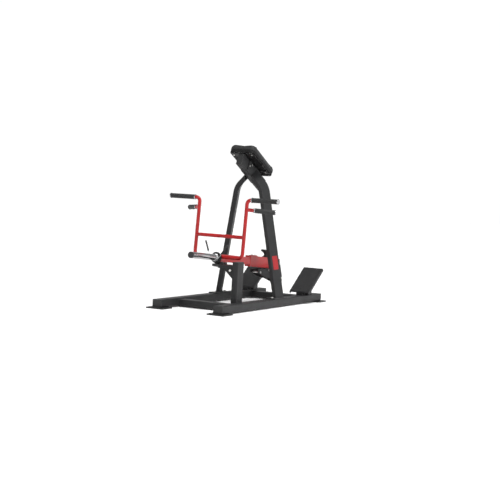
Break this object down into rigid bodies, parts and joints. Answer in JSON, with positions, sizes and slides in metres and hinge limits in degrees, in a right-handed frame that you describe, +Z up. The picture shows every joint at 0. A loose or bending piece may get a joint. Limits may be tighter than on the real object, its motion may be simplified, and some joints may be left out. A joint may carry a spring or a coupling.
{
  "type": "t bar row",
  "caption": "Plate-loaded row with a hinged lever arm, chest pad on an A-frame, inclined foot plates and a choice of wide or swept handles.",
  "frame": {"origin": "on the floor under the middle of the machine's bounding box", "axes": "+X to the side that carries the rest post, +Y from the weight horn towards the foot plates, +Z up"},
  "size_m": [0.974, 1.832, 1.3061],
  "materials": {
    "frame_paint": "charcoal fine-texture powder coat",
    "arm_paint": "red gloss powder coat",
    "black_plastic": "moulded, fine grain",
    "floor_rubber": "dull",
    "black_steel": "black satin powder coat",
    "zinc_bolts": "bright zinc plate",
    "pad_cover": "dark grey grained vinyl",
    "pad_board": "plywood covered with black vinyl",
    "label_red": "plain printed film",
    "bumper_rubber": "matt",
    "steel": "turned steel",
    "bronze": "oil bronze",
    "grip_rubber": "soft grained grip",
    "chrome": "polished",
    "mat_rubber": "ribbed"
  },
  "bodies": {
    "frame": {"floor_pads": "floor_rubber", "floor_plates": "black_steel", "left_rail": "frame_paint", "right_rail": "frame_paint", "rail_end_caps": "black_plastic", "front_crossbar": "frame_paint", "rear_crossbar": "frame_paint", "right_leg": "frame_paint", "left_leg": "frame_paint", "leg_base_plates": "frame_paint", "leg_base_fasteners": "zinc_bolts", "pad_beam": "frame_paint", "leg_flanges": "frame_paint", "flange_fasteners": "zinc_bolts", "pad_straps": "black_steel", "pad_board": "pad_board", "chest_pad": "pad_cover", "pad_bolts": "zinc_bolts", "leg_labels": "label_red", "rest_post": "frame_paint", "rest_shelf": "black_steel", "shelf_gusset": "black_steel", "rest_fasteners": "zinc_bolts", "rest_bumper": "bumper_rubber", "pivot_column": "frame_paint", "pivot_plate_right": "black_steel", "pivot_plate_left": "black_steel", "stand_fasteners": "zinc_bolts", "tube_plugs": "black_plastic", "toe_spacers": "steel", "pivot_shaft": "steel", "shaft_retainers": "steel", "foot_plates": "black_steel", "foot_mats": "mat_rubber", "foot_supports": "frame_paint", "foot_brackets": "black_steel", "foot_screws": "black_steel"},
    "lever_arm": {"arm_rear_beam": "arm_paint", "arm_tail_cap": "black_plastic", "arm_front_beam": "arm_paint", "arm_top_pad": "arm_paint", "arm_top_bolts": "zinc_bolts", "arm_hub": "steel", "pivot_bushes": "bronze", "thrust_washers": "black_plastic", "band_peg": "bumper_rubber", "handle_frame_tubes": "arm_paint", "handle_frame_crossbar": "arm_paint", "lower_handle_tubes": "arm_paint", "upper_grips": "grip_rubber", "lower_grips": "grip_rubber", "grip_rings": "chrome", "grip_end_caps": "chrome", "horn_flange": "black_steel", "horn_bumper": "bumper_rubber", "horn_core": "steel", "horn_sleeve": "chrome", "horn_cap": "black_plastic"},
    "spring_collar": {"collar_spring": "chrome", "collar_grips": "black_plastic"}
  },
  "joints": [
    {"name": "arm_pivot", "type": "hinge", "parent": "frame", "child": "lever_arm", "pos_m": [0, 0.554, 0.318], "axis": [-1, 0, 0], "range_deg": [0, 30]},
    {"name": "collar_slide", "type": "slide", "parent": "lever_arm", "child": "spring_collar", "axis": [0, -0.9968, 0.0802], "range_m": [0, 0.35]}
  ]
}
